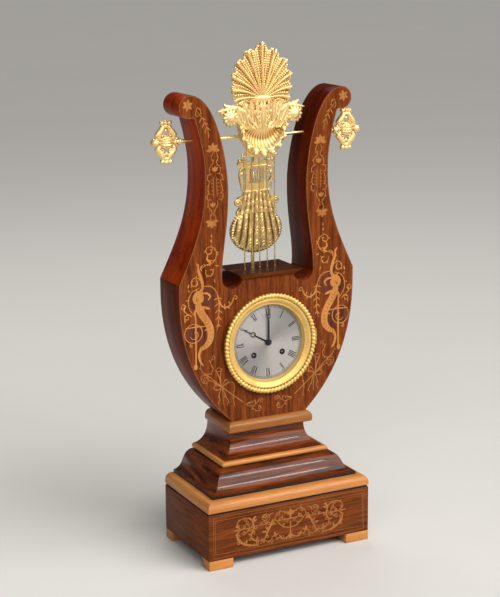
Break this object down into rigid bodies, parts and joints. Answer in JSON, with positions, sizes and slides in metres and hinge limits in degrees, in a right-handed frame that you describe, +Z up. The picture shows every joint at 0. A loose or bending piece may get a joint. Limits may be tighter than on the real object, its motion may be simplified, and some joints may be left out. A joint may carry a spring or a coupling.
{
  "type": "lyre mantel clock",
  "caption": "Lyre-shaped wooden mantel clock on a stepped moulded plinth, with gilt crest, pierced finials, strings, a swinging pendulum, glazed round dial and striking movement.",
  "frame": {"origin": "under the middle of the base, on the surface that the clock stands on", "axes": "+X to the right of the dial, +Y to the flat back, +Z up"},
  "size_m": [0.2614, 0.1188, 0.58],
  "materials": {
    "boxwood": "polished light boxwood",
    "rosewood": "French polished rosewood veneer with boxwood inlay",
    "ebony": "ebonised and polished",
    "softwood": "plain sawn",
    "gilt_bronze": "mercury gilt, part burnished",
    "brass": "lacquered brass",
    "steel": "fine polished",
    "blued_steel": "heat blued",
    "silvered_metal": "matt silvered",
    "glass": "clear"
  },
  "bodies": {
    "case": {"feet": "boxwood", "base_box": "rosewood", "ebony_strip": "ebony", "base_moulding": "boxwood", "ogee_fillet": "ebony", "ogee_moulding": "rosewood", "bead_moulding": "boxwood", "cavetto_moulding": "rosewood", "plinth_core": "softwood", "cap_moulding": "boxwood", "lyre_bowl": "rosewood", "left_arm": "rosewood", "right_arm": "rosewood", "arm_dowels": "softwood", "front_veneer": "rosewood", "string_shelf": "rosewood", "strings": "brass", "cross_rod": "gilt_bronze", "left_finial": "gilt_bronze", "right_finial": "gilt_bronze", "crest_shell": "gilt_bronze", "crest_leaf": "gilt_bronze", "crest_apron": "gilt_bronze", "crest_scrolls": "gilt_bronze", "crest_bracket": "brass", "suspension_cock": "brass", "bezel_seat": "brass", "bezel_hinge": "brass", "dial": "silvered_metal", "movement_ring": "brass", "front_plate": "brass", "back_plate": "brass", "pillars": "brass", "back_cock": "brass", "bell": "brass", "back_hinge": "brass"},
    "bezel_door": {"bezel": "gilt_bronze", "bezel_glass": "glass"},
    "rear_door": {"back_door": "brass"},
    "pendulum": {"pendulum_frame": "gilt_bronze", "gridiron_rods": "steel", "pendulum_bob": "gilt_bronze"},
    "escapement_anchor": {"anchor": "steel", "crutch": "steel"},
    "minute_train": {"minute_hand": "blued_steel", "cannon_pinion": "steel"},
    "minute_idler": {"minute_wheel": "brass"},
    "hour_train": {"hour_wheel": "brass", "hour_hand": "blued_steel"},
    "escape": {"escape_wheel": "brass"},
    "third": {"third_wheel": "brass"},
    "centre": {"centre_wheel": "brass"},
    "intermediate": {"intermediate_wheel": "brass"},
    "going_spring_barrel": {"going_barrel": "brass"},
    "going_wind": {"going_arbor": "steel"},
    "strike_spring_barrel": {"strike_barrel": "brass"},
    "strike_wind": {"strike_arbor": "steel"},
    "strike_pin_wheel": {"pin_wheel": "brass"},
    "strike_fly": {"fly": "brass"},
    "strike_hammer": {"hammer": "steel"}
  },
  "joints": [
    {"name": "bezel_open", "type": "hinge", "parent": "case", "child": "bezel_door", "pos_m": [0.0604, -0.0094, 0.2405], "axis": [0, 0, 1], "range_deg": [0, 105]},
    {"name": "rear_door_open", "type": "hinge", "parent": "case", "child": "rear_door", "pos_m": [-0.0521, 0.0464, 0.2405], "axis": [0, 0, 1], "range_deg": [0, 105]},
    {"name": "pendulum_swing", "type": "hinge", "parent": "case", "child": "pendulum", "pos_m": [0, 0.022, 0.478], "axis": [0, 1, 0], "range_deg": [-3.5, 3.5]},
    {"name": "crutch_swing", "type": "hinge", "parent": "case", "child": "escapement_anchor", "pos_m": [0, 0.01, 0.2735], "axis": [0, 1, 0], "range_deg": [-6, 6]},
    {"name": "minute_turn", "type": "hinge", "parent": "case", "child": "minute_train", "pos_m": [0, 0.01, 0.2405], "axis": [0, 1, 0], "continuous": true},
    {"name": "minute_wheel_turn", "type": "hinge", "parent": "case", "child": "minute_idler", "pos_m": [0, 0.01, 0.2309], "axis": [0, 1, 0], "continuous": true},
    {"name": "hour_turn", "type": "hinge", "parent": "case", "child": "hour_train", "pos_m": [0, 0.01, 0.2405], "axis": [0, 1, 0], "continuous": true},
    {"name": "escape_turn", "type": "hinge", "parent": "case", "child": "escape", "pos_m": [0, 0.01, 0.263], "axis": [0, 1, 0], "continuous": true},
    {"name": "third_turn", "type": "hinge", "parent": "case", "child": "third", "pos_m": [-0.00771, 0.01, 0.25285], "axis": [0, 1, 0], "continuous": true},
    {"name": "centre_turn", "type": "hinge", "parent": "case", "child": "centre", "pos_m": [0, 0.01, 0.2405], "axis": [0, 1, 0], "continuous": true},
    {"name": "intermediate_turn", "type": "hinge", "parent": "case", "child": "intermediate", "pos_m": [0.01371, 0.01, 0.24621], "axis": [0, 1, 0], "continuous": true},
    {"name": "going_barrel_turn", "type": "hinge", "parent": "case", "child": "going_spring_barrel", "pos_m": [0.0183, 0.01, 0.227], "axis": [0, 1, 0], "continuous": true},
    {"name": "going_wind_turn", "type": "hinge", "parent": "case", "child": "going_wind", "pos_m": [0.0183, 0.01, 0.227], "axis": [0, 1, 0], "continuous": true},
    {"name": "fly_turn", "type": "hinge", "parent": "case", "child": "strike_fly", "pos_m": [-0.0234, 0.01, 0.25721], "axis": [0, 1, 0], "continuous": true},
    {"name": "pin_wheel_turn", "type": "hinge", "parent": "case", "child": "strike_pin_wheel", "pos_m": [-0.02817, 0.01, 0.2441], "axis": [0, 1, 0], "continuous": true},
    {"name": "strike_barrel_turn", "type": "hinge", "parent": "case", "child": "strike_spring_barrel", "pos_m": [-0.0183, 0.01, 0.227], "axis": [0, 1, 0], "continuous": true},
    {"name": "strike_wind_turn", "type": "hinge", "parent": "case", "child": "strike_wind", "pos_m": [-0.0183, 0.01, 0.227], "axis": [0, 1, 0], "continuous": true},
    {"name": "hammer_lift", "type": "hinge", "parent": "case", "child": "strike_hammer", "pos_m": [0.036, 0.01, 0.2545], "axis": [0, 1, 0], "range_deg": [-15, 0]}
  ],
  "couplings": [
    {"joint": "crutch_swing", "follows": "pendulum_swing", "ratio": -1.6908},
    {"joint": "minute_wheel_turn", "follows": "minute_turn", "ratio": -0.33333},
    {"joint": "hour_turn", "follows": "minute_turn", "ratio": 0.083333},
    {"joint": "escape_turn", "follows": "third_turn", "ratio": -11.25},
    {"joint": "centre_turn", "follows": "third_turn", "ratio": -0.083333},
    {"joint": "intermediate_turn", "follows": "third_turn", "ratio": 0.018519},
    {"joint": "going_barrel_turn", "follows": "third_turn", "ratio": -0.0026838},
    {"joint": "pin_wheel_turn", "follows": "strike_barrel_turn", "ratio": -6.9},
    {"joint": "fly_turn", "follows": "strike_barrel_turn", "ratio": 46.575}
  ]
}
